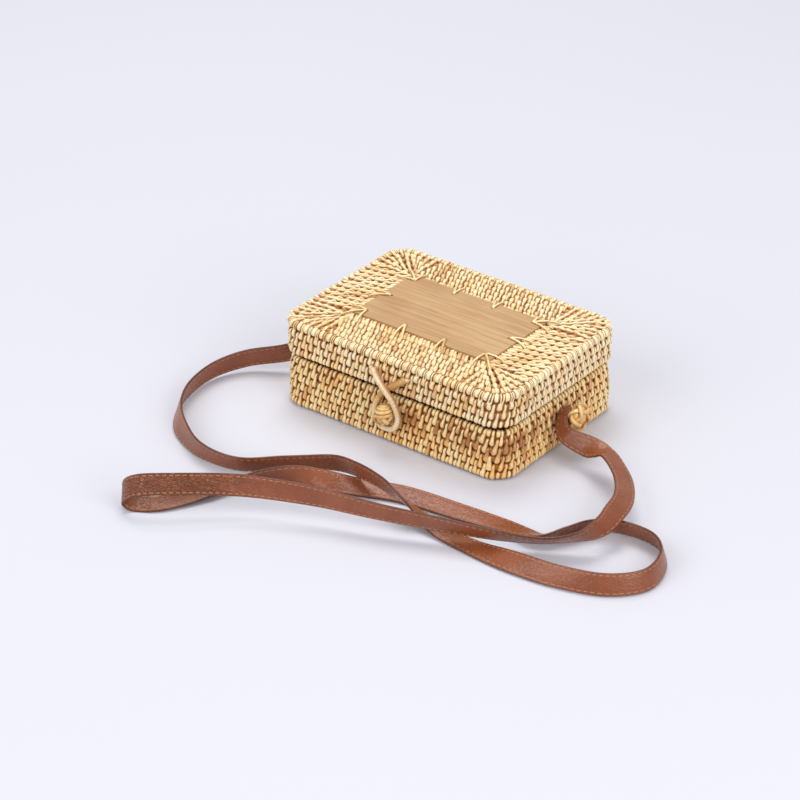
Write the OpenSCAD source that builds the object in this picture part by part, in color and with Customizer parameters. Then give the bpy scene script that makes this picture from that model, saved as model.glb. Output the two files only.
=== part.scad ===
// Basket box bag: a coil-woven rattan box with a hinged lid, a laced wooden panel, a loop clasp and a strap.
// Millimetres. +X runs along the long side, the front wall faces -Y, +Z is up, the floor is at z = 0.

/* [Box] */
// Width of the lid over its outer rows
lid_w = 200; // [170:1:240]
// Depth of the lid over its outer rows
lid_d = 145; // [125:1:174]
// Corner radius of the lid in plan, over its outer rows
corner_r = 18.5; // [16:0.5:22]
// How far the base stands back from the lid on each side
base_inset = 0.75; // [0.4:0.05:1.2]
// Gap between the lid's lowest row and the base's top row
seam_gap = 0.3; // [0.3:0.05:0.6]

/* [Coil rows] */
// Radius of one coil row
row_r = 3.65; // [3.5:0.05:4]
// Height from one row to the next
row_pitch = 6.8; // [6.4:0.1:7]
// Rows in the base wall
base_rows = 6; // [6:1:8]
// Rows in the lid wall
lid_rows = 4; // [4:1:6]
// Thickness of the weave in the valley between two rows
web_t = 4.4; // [3.6:0.1:5]
// Thickness of the woven floor
floor_t = 5; // [4:0.5:6]
// How far the floor's flat underside stands below the lowest row
row_lift = 0.4; // [0.2:0.1:1]

/* [Lid top] */
// Width of the woven band on the short sides of the panel
band_x = 40.5; // [36:0.5:44]
// Width of the woven band on the long sides of the panel
band_y = 37; // [33:0.5:41]
// Rows across the band, without the edge row
band_rows = 5; // [4:1:5]
// Smallest radius a row turns with at a corner
turn_r = 4.2; // [4.1:0.1:5]

/* [Panel] */
// Thickness of the wooden panel
panel_t = 4; // [3:0.5:5]
// How far the panel stands above the rows
panel_proud = 1.3; // [0.8:0.1:2]
// Gap round the panel
panel_gap = 0.3; // [0.2:0.05:0.5]
// Distance from the panel's edge to its lacing holes
hole_in = 7; // [5:0.25:9]
// Diameter of the lacing holes
hole_dia = 2.6; // [2.4:0.1:3.2]
// Diameter of the lacing strands
lace_dia = 1.6; // [1.2:0.1:1.8]
// Air between the lacing and the panel
lace_gap = 0.15; // [0.1:0.05:0.3]

/* [Clasp] */
// Place of the clasp along the front wall
clasp_x = 2; // [-10:1:10]
// Diameter of the wrapped loop strand
loop_dia = 4; // [3.4:0.1:4.2]
// Half the distance between the loop's two ends
loop_half = 14; // [13:0.5:17]
// Height of the loop's ends above the lid's lower edge
loop_z = 15.5; // [14.5:0.5:17]
// Distance of the loop's axis in front of the lid wall
loop_out = 1.05; // [1:0.05:1.2]
// Air round the loop's ends in the lid wall
loop_gap = 0.35; // [0.3:0.05:0.5]
// Width of the toggle knot
toggle_w = 12.4; // [10:0.2:13]
// Height of the toggle knot
toggle_h = 17.6; // [15:0.2:18]
// Distance from the base wall to the toggle's middle
toggle_out = 8.25; // [7.5:0.25:9]

/* [Strap knots] */
// Diameter of the strap buttons
button_dia = 20; // [18:0.5:22]
// Thickness of the strap buttons
button_t = 12; // [10:0.5:13]
// Distance from the end wall to the button's inner face
button_gap = 9.75; // [9.5:0.25:11]
// Height of the knots and their stems above the floor
stem_z = 28; // [27:0.5:29]
// Diameter of the stems that pass through the wall
stem_dia = 4; // [3.4:0.1:4.2]
// Air round the stems in the wall
stem_gap = 0.2; // [0.1:0.05:0.3]

/* [Hinge] */
// Distance from the middle to each hinge ring
hinge_x = 52; // [40:1:60]
// Radius of the rings, to the middle of the strand
ring_r = 7.2; // [6.8:0.1:8]
// Diameter of the ring strand
ring_dia = 2.8; // [2.2:0.1:3]
// Air round the ring in the tunnels through both walls
ring_gap = 0.35; // [0.3:0.05:0.5]

/* [Strap] */
// Width of the strap
strap_w = 15.5; // [12:0.5:15.5]
// Thickness of the strap
strap_t = 2.2; // [1.6:0.1:2.2]
// Cross-sections along the strap
strap_rings = 80; // [70:1:90]

/* [Hidden] */
$fn = 32;
base_w = lid_w - 2*base_inset;
base_d = lid_d - 2*base_inset;
base_corner = corner_r - base_inset;
base_z = row_lift + row_r;
base_top = base_z + (base_rows - 1)*row_pitch + row_r;
lid_z = base_top + seam_gap;
lid_row_z = lid_z + row_r;
edge_z = lid_row_z + (lid_rows - 1)*row_pitch;
crest_z = edge_z + row_r;
panel_w = lid_w - 2*band_x;
panel_d = lid_d - 2*band_y;
panel_top = crest_z + panel_proud;
pitch_x = (band_x - panel_gap - 2*row_r)/band_rows;
pitch_y = (band_y - panel_gap - 2*row_r)/band_rows;
hinge_y = lid_d/2;
hinge_z = base_top + seam_gap/2;
loop_axis_y = -lid_d/2 - loop_out;
loop_axis_z = lid_z + loop_z;
toggle_y = -base_d/2 - toggle_out;
wall_in = 2*row_r + 2;
hole_x = panel_w/2 - hole_in;
hole_y = panel_d/2 - hole_in;

// The strap's route: position, direction of its width, and width, for the box at its own size
route = [
    [-106, -7.5, 20.8, -1, 0, 0, 8.6],
    [-104.3, -1, 22.6, -1, 0, 0, 8.6],
    [-104.3, 3.4, 26, -1, 0, 0, 8.6],
    [-104.3, 2.2, 31, -1, 0, 0, 8.6],
    [-104.3, -2.6, 31.4, -1, 0, 0, 8.6],
    [-104.4, -7.4, 28, -0.95, 0.1, 0.2, 8.6],
    [-108, -15, 23.4, -0.6, 0.2, 0.75, 11.5],
    [-120, -34, 16.5, 0.1, -0.1, 1, 15.5],
    [-145, -54, 11.5, 0.1, -0.1, 1, 15.5],
    [-156, -80, 9, 0.2, 0, 1, 15.5],
    [-152, -112, 8.6, 0.2, 0, 1, 15.5],
    [-139, -138, 8.2, 0.3, 0.2, 0.9, 15.5],
    [-120, -156, 8.2, 0.3, 0.3, 0.9, 15.5],
    [-90, -170, 8.4, 0, -0.2, 1, 15.5],
    [-58, -168, 8, 0.1, -0.4, 0.9, 15.5],
    [-33, -147, 8, 0.2, -0.3, 0.9, 15.5],
    [-5, -128, 9.2, 0.1, -0.3, 0.9, 15.5],
    [24, -135, 16.6, -0.1, -0.3, 1, 15.5],
    [51, -142, 18.6, -0.1, -0.3, 0.9, 15.5],
    [70, -146, 15.5, 0, -0.6, 0.8, 15.5],
    [84, -144, 7.5, 0, -0.9, 0.4, 15.5],
    [104, -146, 2.2, -0.1, -1, 0, 15.5],
    [133, -149, 2.6, -0.1, -1, -0.1, 15.5],
    [167, -152, 6.5, 0, -0.7, -0.7, 15.5],
    [199, -150, 7.7, 0.1, -0.5, -0.9, 15.5],
    [231, -139, 7.7, 0.2, -0.4, -0.9, 15.5],
    [249, -118, 8, 0.3, -0.1, -0.9, 15.5],
    [245, -92, 8.2, 0.2, 0.1, -1, 15.5],
    [228, -75, 8, 0.2, 0.3, -0.9, 15.5],
    [202, -74, 7.9, -0.1, 0.4, -0.9, 15.5],
    [182, -85, 7.6, -0.3, 0.4, -0.9, 15.5],
    [171, -102, 7.2, -0.5, 0.4, -0.8, 15.5],
    [159, -114, 5.4, -0.3, 0.9, -0.4, 15.5],
    [132, -115, 3.2, -0.1, 1, 0, 15.5],
    [99, -119, 3.3, -0.1, 1, 0.2, 15.5],
    [55, -125, 3.9, -0.2, 0.9, 0.3, 15.5],
    [25, -136, 4, -0.3, 0.9, 0.3, 15.5],
    [1, -148, 6.8, -0.3, 0.7, 0.7, 15.5],
    [-25, -159, 8, 0.2, -0.3, 0.9, 15.5],
    [-46, -177, 6, 0.7, -0.4, 0.6, 15.5],
    [-57, -205, 3.2, 0.9, -0.4, 0.1, 15.5],
    [-72, -233, 2.6, 0.8, -0.6, -0.1, 15.5],
    [-86, -246, 4.2, 0.5, -0.9, -0.1, 15.5],
    [-93, -248, 10, 0.4, -0.8, -0.4, 15.5],
    [-86, -244, 17, 0.3, -0.6, -0.7, 15.5],
    [-69, -232, 19, 0.3, -0.4, -0.9, 15.5],
    [-27, -202, 19, 0.2, -0.4, -0.9, 15.5],
    [18, -182, 18, 0, -0.1, -1, 15.5],
    [64, -170, 17, -0.1, 0.2, -1, 15.5],
    [104, -157, 16, -0.1, 0.3, -0.9, 15.5],
    [145, -140, 13.2, -0.2, 0.5, -0.8, 15.5],
    [172, -125, 12, -0.4, 0.6, -0.7, 15.5],
    [191, -112, 16, -0.4, 0.4, -0.8, 15.5],
    [199, -98, 20, 0.3, 0, -1, 15.5],
    [198, -82, 21.5, 0.8, 0.3, -0.6, 15.5],
    [191, -59, 20, 1, 0.2, -0.2, 15.5],
    [175, -36, 18, 0.9, 0.4, 0.2, 15.5],
    [153, -20, 17, 0.6, 0.7, 0.5, 15.5],
    [132, -16, 18.5, 0.4, 0.5, 0.8, 15.5],
    [113, -16, 21.6, 0.7, 0.4, 0.6, 12.5],
    [104.4, -7.4, 28, 0.95, 0.1, 0.2, 8.6],
    [104.3, -2.6, 31.4, 1, 0, 0, 8.6],
    [104.3, 2.2, 31, 1, 0, 0, 8.6],
    [104.3, 3.4, 26, 1, 0, 0, 8.6],
    [104.3, -1, 22.6, 1, 0, 0, 8.6],
    [105, -7.5, 20.4, 1, 0, 0, 8.6]
];
// How far the two end walls and the front wall stand from the box the route was laid for
route_dx = base_w/2 - 99.25;
route_dy = base_d/2 - 71.75;
route_dz = stem_z - 28;

// The clasp loop's strand, measured from the middle of its axis
loop_path = [
    [-loop_half, 0, 0],
    [-12.2, -3, -4],
    [-7.5, -5.6, -8.3],
    [0, -6.2, -12.7],
    [6.5, -5.5, -18.5],
    [10.2, -4, -26],
    [10.4, -3.3, -32],
    [8, -3, -38],
    [3.5, -3, -41.4],
    [-3.5, -3, -41.4],
    [-8, -3, -38],
    [-10.4, -2.8, -32],
    [-10, -2.2, -26],
    [-6.3, -1.9, -18.5],
    [0, -1.9, -12.7],
    [7.5, -1.9, -8],
    [12.2, -1.8, -3.7],
    [loop_half, 0, 0]
];
loop_steps = 4;

function clamp(v, lo, hi) = min(hi, max(lo, v));
function unit(v) = v/norm(v);

// A value on the smooth curve through the rows of a table, at a fractional row
function spline(rows, f) =
    let (n = len(rows) - 1)
    let (i = clamp(floor(f), 0, n - 1))
    let (u = f - i)
    let (a = rows[max(0, i - 1)])
    let (b = rows[i])
    let (c = rows[i + 1])
    let (d = rows[min(n, i + 2)])
    0.5*(2*b + (c - a)*u + (2*a - 5*b + 4*c - d)*u*u + (3*b - a - 3*c + d)*u*u*u);

function first3(v) = [v[0], v[1], v[2]];

// Triangles that close a sweep of n rings with m points each
function sweep_faces(n, m) = concat(
    [for (i = [0:n - 2]) for (j = [0:m - 1]) [i*m + j, (i + 1)*m + j, i*m + (j + 1)%m]],
    [for (i = [0:n - 2]) for (j = [0:m - 1]) [i*m + (j + 1)%m, (i + 1)*m + j, (i + 1)*m + (j + 1)%m]],
    [for (j = [1:m - 2]) [0, j, j + 1]],
    [for (j = [1:m - 2]) [(n - 1)*m, (n - 1)*m + j + 1, (n - 1)*m + j]]
);

// The route moved out with the walls of the box
function moved(r) = [
    r[0] + route_dx*clamp(r[0]/99, -1, 1),
    r[1] - route_dy*clamp((-r[1] - 8)/64, 0, 1),
    r[2] + route_dz*clamp((r[1] + 40)/30, 0, 1),
    r[3],
    r[4],
    r[5],
    r[6] > 15 ? strap_w : r[6]
];
strap_route = [for (r = route) moved(r)];

// One cross-section of the strap: a flat strip with small chamfers
function strap_section(f) =
    let (s = spline(strap_route, f))
    let (t = unit(first3(spline(strap_route, f + 0.02)) - first3(spline(strap_route, f - 0.02))))
    let (w0 = [s[3], s[4], s[5]])
    let (w = unit(w0 - t*(t*w0)))
    let (n = cross(t, w))
    let (a = s[6]/2)
    let (h = strap_t/2)
    let (k = 0.6)
    [for (q = [[a - k, h], [-a + k, h], [-a, h - k], [-a, -h + k], [-a + k, -h], [a - k, -h], [a, -h + k], [a, h - k]])
        first3(s) + q[0]*w + q[1]*n];

// One cross-section of the clasp strand
function loop_section(f) =
    let (p = spline(loop_path, f))
    let (t = unit(spline(loop_path, f + 0.02) - spline(loop_path, f - 0.02)))
    let (w = unit(cross(t, [0, 1, 0.03])))
    let (n = cross(t, w))
    [for (j = [0:9]) p + loop_dia/2*(cos(36*j)*w + sin(36*j)*n)];

// A rounded rectangle in plan
module round_rect(w, d, r) {
    square([w - 2*r, d], center = true);
    square([w, d - 2*r], center = true);
    for (sx = [-1, 1])
        for (sy = [-1, 1])
            translate([sx*(w/2 - r), sy*(d/2 - r)])
                circle(r = r);
}

// Sweeps a profile round the box; the profile's x = 0 runs on the outline w by d with corners r
module sweep_ring(w, d, r) {
    for (i = [0:3])
        rotate([0, 0, 90*i])
            translate([0, (i%2 == 0 ? d : w)/2, 0])
                rotate([90, 0, 90])
                    linear_extrude((i%2 == 0 ? w : d) - 2*r, center = true)
                        children();
    for (i = [0:3])
        translate([(i == 0 || i == 3 ? 1 : -1)*(w/2 - r), (i < 2 ? 1 : -1)*(d/2 - r), 0])
            rotate([0, 0, 90*i])
                rotate_extrude(angle = 90)
                    translate([r, 0])
                        children();
}

// Section of a wall: coil rows one on another, joined by the weave between them
module wall_profile(rows, z) {
    for (i = [0:rows - 1])
        translate([0, z + i*row_pitch])
            circle(r = row_r);
    translate([-web_t/2, z])
        square([web_t, (rows - 1)*row_pitch]);
}

// A woven wall on the outline w by d with outer corners r
module wall(w, d, r, rows, z) {
    sweep_ring(w - 2*row_r, d - 2*row_r, r - row_r)
        wall_profile(rows, z);
}

// A ring lashing at one side of the hinge, grown by a gap for its tunnel
module ring_at(x, gap) {
    translate([x, hinge_y, hinge_z])
        rotate([0, 90, 0])
            rotate_extrude()
                translate([ring_r, 0])
                    circle(d = ring_dia + 2*gap);
}

// Stems of the toggle and the two strap buttons, grown by a gap for their bores
module button_stem(side, gap) {
    translate([side*(base_w/2 - wall_in), 0, stem_z])
        rotate([0, 90*side, 0])
            cylinder(d = stem_dia + 2*gap, h = wall_in + button_gap + 1);
}

module toggle_stem(gap) {
    translate([clasp_x, -base_d/2 + wall_in, stem_z])
        rotate([90, 0, 0])
            cylinder(d = stem_dia + 2*gap, h = wall_in + toggle_out);
}

// The base: a woven wall on a woven floor, with the places where strands pass through it
module base_basket() {
    color("#cfa873")
        difference() {
            union() {
                wall(base_w, base_d, base_corner, base_rows, base_z);
                linear_extrude(floor_t)
                    round_rect(base_w - 4, base_d - 4, base_corner - 2);
            }
            ring_at(-hinge_x, ring_gap);
            ring_at(hinge_x, ring_gap);
            button_stem(-1, stem_gap);
            button_stem(1, stem_gap);
            toggle_stem(stem_gap);
        }
}

// One row of the lid's top band
module band_row(k) {
    sweep_ring(
        lid_w - 2*row_r - 2*k*pitch_x,
        lid_d - 2*row_r - 2*k*pitch_y,
        max(turn_r, corner_r - row_r - k*(pitch_x + pitch_y)/2)
    )
        translate([0, edge_z])
            circle(r = row_r);
}

// The lid: a woven wall, and rows that run on round its top to the panel's opening
module lid_basket() {
    color("#d8b482")
        difference() {
            union() {
                wall(lid_w, lid_d, corner_r, lid_rows, lid_row_z);
                for (k = [1:band_rows])
                    band_row(k);
                translate([0, 0, edge_z - web_t/2])
                    linear_extrude(web_t)
                        difference() {
                            round_rect(lid_w - 2*row_r, lid_d - 2*row_r, corner_r - row_r);
                            square([panel_w + 2*panel_gap + 2, panel_d + 2*panel_gap + 2], center = true);
                        }
            }
            ring_at(-hinge_x, ring_gap);
            ring_at(hinge_x, ring_gap);
            for (s = [-1, 1])
                translate([clasp_x + s*loop_half, loop_axis_y, loop_axis_z])
                    rotate([0, 90, 0])
                        cylinder(d = loop_dia + 2*loop_gap, h = 8, center = true);
        }
}

// The wooden panel with its lacing holes
module lid_panel() {
    color("#dcb685")
        difference() {
            translate([0, 0, panel_top - panel_t])
                linear_extrude(panel_t)
                    round_rect(panel_w, panel_d, 1);
            for (p = lace_holes)
                translate([p[0], p[1], panel_top - panel_t - 1])
                    cylinder(d = hole_dia, h = panel_t + 2);
        }
}

lace_holes = concat(
    [for (sx = [-1, -1/3, 1/3, 1]) for (sy = [-1, 1]) [sx*hole_x, sy*hole_y]],
    [[-hole_x, 0], [hole_x, 0]]
);

// A straight length of lacing with a rounded end
module strand(a, b) {
    d = b - a;
    translate(a)
        rotate([0, acos(d[2]/norm(d)), atan2(d[1], d[0])])
            cylinder(d = lace_dia, h = norm(d));
    translate(b)
        sphere(d = lace_dia + 0.02);
}

// One strand from a hole over the panel's edge at b and down between two rows at c, in plan
module lace_leg(p, b, c) {
    z = panel_top + lace_gap + lace_dia/2;
    strand([p[0], p[1], z], [b[0], b[1], z]);
    strand([b[0], b[1], z], [c[0], c[1], z - 1.7]);
}

// All the lacing at one hole: a pin in the hole and its strands
module lace_pin(p) {
    z = panel_top + lace_gap + lace_dia/2;
    translate([p[0], p[1], panel_top - panel_t - 1])
        cylinder(d = hole_dia - 0.6, h = panel_t + 1 + lace_gap + lace_dia/2);
    translate([p[0], p[1], z])
        sphere(d = hole_dia - 0.2);
}

module panel_lacing() {
    bx = panel_w/2 + lace_dia/2 + 0.1;
    by = panel_d/2 + lace_dia/2 + 0.1;
    cx = panel_w/2 + panel_gap + row_r + pitch_x/2;
    cy = panel_d/2 + panel_gap + row_r + pitch_y/2;
    color("#c79b63") {
        for (p = lace_holes)
            lace_pin(p);
        for (sx = [-1, 1]) {
            for (s = [-1, 1])
                lace_leg([sx*hole_x, 0], [sx*bx, s*4], [sx*cx, s*6.6]);
            for (sy = [-1, 1]) {
                for (s = [-1, 1])
                    lace_leg([sx*hole_x/3, sy*hole_y], [sx*hole_x/3 + s*3.4, sy*by], [sx*hole_x/3 + s*5.4, sy*cy]);
                lace_leg([sx*hole_x, sy*hole_y], [sx*(hole_x - 1.6), sy*by], [sx*(hole_x - 3), sy*cy]);
                lace_leg([sx*hole_x, sy*hole_y], [sx*bx, sy*(hole_y - 1.6)], [sx*cx, sy*(hole_y - 3)]);
                lace_leg([sx*hole_x, sy*hole_y], [sx*bx, sy*by], [sx*(bx + 5), sy*(by + 5)]);
            }
        }
    }
}

// The wrapped loop, crossed like a ribbon, and the two ends it swings on
module clasp_loop() {
    n = (len(loop_path) - 1)*loop_steps + 1;
    color("#e6cfa6")
        translate([clasp_x, loop_axis_y, loop_axis_z]) {
            polyhedron(
                points = [for (i = [0:n - 1]) for (p = loop_section(i/loop_steps)) p],
                faces = sweep_faces(n, 10)
            );
            for (s = [-1, 1])
                translate([s*loop_half, 0, 0])
                    rotate([0, 90, 0])
                        cylinder(d = loop_dia, h = 5, center = true);
        }
}

// The toggle: a knot shaped like a lemon, on a stem
module clasp_knot() {
    bow_r = (toggle_w*toggle_w/4 - 2*toggle_w/2*1 + 1 + toggle_h*toggle_h/4)/(2*(toggle_w/2 - 1));
    steps = 7;
    bow = [
        for (i = [-steps:steps])
            let (z = i*toggle_h/2/steps)
            [toggle_w/2 - bow_r + sqrt(bow_r*bow_r - z*z), z]
    ];
    color("#c8914f") {
        translate([clasp_x, toggle_y, stem_z])
            rotate_extrude()
                polygon(concat([[0, -toggle_h/2]], bow, [[0, toggle_h/2]]));
        toggle_stem(0);
    }
}

// A strap button: a flat round knot on a stem through the end wall
module strap_button(side) {
    core_r = button_dia/2 - button_t/2;
    translate([side*(base_w/2 + button_gap + button_t/2), 0, stem_z])
        rotate([0, 90, 0])
            rotate_extrude() {
                intersection() {
                    translate([core_r, 0])
                        circle(d = button_t);
                    translate([0, -button_t/2])
                        square([button_dia, button_t]);
                }
                translate([0, -button_t/2])
                    square([core_r, button_t]);
            }
    button_stem(side, 0);
}

module strap_knot_left() {
    color("#c8914f")
        strap_button(-1);
}

module strap_knot_right() {
    color("#c8914f")
        strap_button(1);
}

module hinge_ring_left() {
    color("#c79b63")
        ring_at(-hinge_x, 0);
}

module hinge_ring_right() {
    color("#c79b63")
        ring_at(hinge_x, 0);
}

// The leather strap, lying in front of the box, its ends looped over the stems
module strap() {
    step = (len(route) - 1)/(strap_rings - 1);
    color("#84523d")
        polyhedron(
            points = [for (i = [0:strap_rings - 1]) for (p = strap_section(i*step)) p],
            faces = sweep_faces(strap_rings, 8)
        );
}

base_basket();
lid_basket();
lid_panel();
panel_lacing();
clasp_loop();
clasp_knot();
strap_knot_left();
strap_knot_right();
hinge_ring_left();
hinge_ring_right();
strap();
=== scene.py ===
# %% [markdown]
# # A box bag of rattan with a leather strap
# The bag is a small box: rods of rattan laid one on another, bound with flat strands, with a wooden panel
# laced into the lid, a loop and a knot for a clasp, and a leather strap on two knotted buttons. The shapes
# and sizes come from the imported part, which is loaded as a fixed frame. This lesson dresses it: it weaves
# the strands as real meshes, gives each material its grain, and sets the light and the camera.

# %% Load the frame
import math

import bpy
import numpy as np
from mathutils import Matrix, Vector


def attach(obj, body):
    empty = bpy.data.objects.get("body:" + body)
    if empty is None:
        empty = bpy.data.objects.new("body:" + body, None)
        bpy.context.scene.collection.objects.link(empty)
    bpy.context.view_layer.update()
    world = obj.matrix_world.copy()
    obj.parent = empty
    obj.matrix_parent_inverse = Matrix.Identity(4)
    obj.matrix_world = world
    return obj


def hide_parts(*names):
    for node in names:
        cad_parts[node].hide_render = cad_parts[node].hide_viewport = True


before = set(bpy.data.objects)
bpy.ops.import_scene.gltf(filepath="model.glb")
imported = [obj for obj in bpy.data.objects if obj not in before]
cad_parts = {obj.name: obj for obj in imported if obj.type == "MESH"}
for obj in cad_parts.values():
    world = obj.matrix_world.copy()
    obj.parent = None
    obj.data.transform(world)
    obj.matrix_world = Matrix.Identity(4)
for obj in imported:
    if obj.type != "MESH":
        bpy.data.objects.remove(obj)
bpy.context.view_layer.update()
MM = 0.001
print("CAD nodes:", ", ".join(sorted(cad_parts)))

# %% [markdown]
# ## The camera
# The picture was taken from the front right, about thirty degrees above the table, with a long lens: the
# box's edges hardly converge. A camera could be pushed about by hand until the view looks right. Here its
# place was fitted to the box's outline, so it is written as plain numbers and stays put while the model
# changes.

# %% Camera
AZIMUTH, ELEVATION = math.radians(37.31), math.radians(30.16)
EYE_MM = (1185.64, -1614.12, 1165.76)
level = math.cos(ELEVATION)
back = Vector((math.sin(AZIMUTH)*level, -math.cos(AZIMUTH)*level, math.sin(ELEVATION)))
camera = bpy.data.objects.new("camera", bpy.data.cameras.new("camera"))
bpy.context.scene.collection.objects.link(camera)
camera.data.lens, camera.data.sensor_width = 144, 36
camera.location = Vector(EYE_MM)*MM
camera.rotation_mode = "QUATERNION"
camera.rotation_quaternion = (-back).to_track_quat("-Z", "Y")
bpy.context.scene.camera = camera
print("camera at", [round(x, 3) for x in camera.location])

# %% [markdown]
# ## Shader sums as Python
# A finish on the real bag is many small changes of colour and gloss, one over another. In Blender each is a
# node, and nodes could be added and linked one line at a time, but that hides the sum. So a small class
# stands for a socket and takes Python's own operators: `1 - mask` adds a Math node.

# %% Socket values
class Value:
    """A number, colour or vector that comes out of a node."""

    def __init__(self, finish, socket):
        self.finish, self.socket = finish, socket

    def sum(self, operation, first, second):
        """Adds a Math node."""
        return self.finish.node("ShaderNodeMath", {"operation": operation}, {0: first, 1: second})

    def __add__(self, other):
        return self.sum("ADD", self, other)

    def __radd__(self, other):
        return self.sum("ADD", other, self)

    def __sub__(self, other):
        return self.sum("SUBTRACT", self, other)

    def __rsub__(self, other):
        return self.sum("SUBTRACT", other, self)

    def __mul__(self, other):
        return self.sum("MULTIPLY", self, other)

    def __rmul__(self, other):
        return self.sum("MULTIPLY", other, self)

    def ramp(self, low, high, to_low=0.0, to_high=1.0):
        """The value stretched so that low becomes to_low and high becomes to_high, smoothly."""
        settings = {"interpolation_type": "SMOOTHSTEP"}
        sockets = {0: self, 1: low, 2: high, 3: to_low, 4: to_high}
        return self.finish.node("ShaderNodeMapRange", settings, sockets)


print("a value takes +, - and *, from either side, and ramp")

# %% [markdown]
# ## One material at a time
# Every material here is one Principled shader with nodes before it. The method `node` makes any node from
# its type, its settings and its sockets, and the others are short names for the nodes that this bag needs
# often. Colours are blended with Mix nodes, because a Math node would turn them grey.

# %% Finishes
class Finish:
    """A material: one shader, and the nodes that feed it."""

    def __init__(self, name):
        self.material = bpy.data.materials.new(name)
        self.material.use_nodes = True
        self.tree = self.material.node_tree
        self.shader = self.tree.nodes["Principled BSDF"]

    def node(self, kind, settings=None, sockets=None, out=0):
        """Adds a node, sets it up, fills or links its sockets, and returns one of its outputs."""
        made = self.tree.nodes.new(kind)
        for key, value in (settings or {}).items():
            setattr(made, key, value)
        for key, value in (sockets or {}).items():
            self.feed(made.inputs[key], value)
        return Value(self, made.outputs[out])

    def feed(self, socket, value):
        """Links a value to a socket, or sets a plain number or colour there."""
        if isinstance(value, Value):
            self.tree.links.new(value.socket, socket)
        else:
            socket.default_value = value

    def attribute(self, name):
        return self.node("ShaderNodeAttribute", {"attribute_name": name}, out=2)

    def place(self):
        return self.node("ShaderNodeTexCoord", out=3)

    def vector(self, x, y, z):
        return self.node("ShaderNodeCombineXYZ", None, {0: x, 1: y, 2: z})

    def stretched(self, vector, scale):
        return self.node("ShaderNodeMapping", None, {0: vector, 3: scale})

    def noise(self, vector, scale, detail=3.0, roughness=0.55):
        sockets = {"Vector": vector, "Scale": scale, "Detail": detail, "Roughness": roughness}
        return self.node("ShaderNodeTexNoise", None, sockets)

    def mix(self, factor, first, second, way="MIX"):
        settings = {"data_type": "RGBA", "blend_type": way}
        return self.node("ShaderNodeMix", settings, {0: factor, 6: first, 7: second}, out=2)

    def bump(self, height, strength, distance):
        return self.node("ShaderNodeBump", None, {"Strength": strength, "Distance": distance, "Height": height})

    def set(self, **sockets):
        """Feeds the shader's own sockets: base_color feeds Base Color."""
        for key, value in sockets.items():
            self.feed(self.shader.inputs[key.replace("_", " ").title()], value)
        return self.material


def colour(red, green, blue):
    """A colour given as it looks on a screen, as the linear values that a shader takes."""
    return tuple(c/12.92 if c < 0.04045 else ((c + 0.055)/1.055)**2.4 for c in (red, green, blue)) + (1.0,)


print("half grey on a screen is", round(colour(0.5, 0.5, 0.5)[0], 3), "as light")

# %% [markdown]
# ## Heaps of small patches
# The weave has thousands of strands. Each could be an object of its own, but that would be slow to build
# and to move, so a heap gathers grids of points and makes one mesh of them. Each point carries a few
# numbers for the finish: a tone for the whole strand, how far along and across the strand it lies, and how
# worn it is. Lengths are millimetres here, and become metres in the mesh.

# %% Heap
FACTS = ("tone", "along", "across", "worn")


class Heap:
    """Gathers grids of points and makes one mesh of them."""

    def __init__(self):
        self.points, self.quads, self.facts, self.count = [], [], {fact: [] for fact in FACTS}, 0

    def grids(self, points, closed=False, **facts):
        """Adds many grids at once: points is grids by rows by columns by 3."""
        points = np.asarray(points, float)
        many, rows, columns = points.shape[:3]
        index = np.arange(many*rows*columns).reshape(many, rows, columns) + self.count
        left = index if closed else index[:, :, :-1]
        right = np.roll(index, -1, 2) if closed else index[:, :, 1:]
        corners = [left[:, :-1], right[:, :-1], right[:, 1:], left[:, 1:]]
        self.quads.append(np.stack(corners, -1).reshape(-1, 4))
        self.points.append(points.reshape(-1, 3))
        for fact in FACTS:
            self.facts[fact].append(np.broadcast_to(facts.get(fact, 0.5), (many, rows, columns)).reshape(-1))
        self.count += many*rows*columns

    def make(self, name, body, slot, material, replaces=()):
        """Makes the mesh, hangs it on the empty of the body it rides on, and hides the CAD nodes that it stands
        for.
        """
        mesh = bpy.data.meshes.new(name)
        mesh.from_pydata((np.concatenate(self.points)*MM).tolist(), [], np.concatenate(self.quads).tolist())
        for fact, parts in self.facts.items():
            layer = mesh.attributes.new(fact, "FLOAT", "POINT")
            layer.data.foreach_set("value", np.concatenate(parts).astype(np.float32))
        mesh.polygons.foreach_set("use_smooth", [True]*len(mesh.polygons))
        mesh.materials.append(material)
        piece = bpy.data.objects.new(name, mesh)
        bpy.context.scene.collection.objects.link(piece)
        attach(piece, body)
        if replaces:
            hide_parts(*replaces)
        print(name, "has", 2*len(mesh.polygons), "triangles")
        return piece


print("facts at each point:", ", ".join(FACTS))

# %% [markdown]
# ## Smooth lines
# A strand bends smoothly through a few known places. A curve object could draw it, but widths and facts
# have to be set at each point of the mesh, so the points are worked out here as plain numbers: a spline
# that goes through every row of a table, whatever its columns stand for.

# %% Smooth lines
def unit(vectors):
    """The vectors at length one."""
    return vectors/np.maximum(np.linalg.norm(vectors, axis=-1, keepdims=True), 1e-9)


def smooth(rows, steps):
    """Points on the smooth curve through rows, with steps between one row and the next."""
    rows = np.asarray(rows, float)
    padded = np.concatenate([rows[:1], rows, rows[-1:]])
    f = np.linspace(0, len(rows) - 1, (len(rows) - 1)*steps + 1)
    i = np.minimum(f.astype(int), len(rows) - 2)
    u = (f - i).reshape((-1,) + (1,)*(rows.ndim - 1))
    a, b, c, d = padded[i], padded[i + 1], padded[i + 2], padded[i + 3]
    return 0.5*(2*b + (c - a)*u + (2*a - 5*b + 4*c - d)*u**2 + (3*b - a - 3*c + d)*u**3)


print("4 rows with 12 steps between them give", len(smooth(np.eye(4), 12)), "points")
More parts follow.
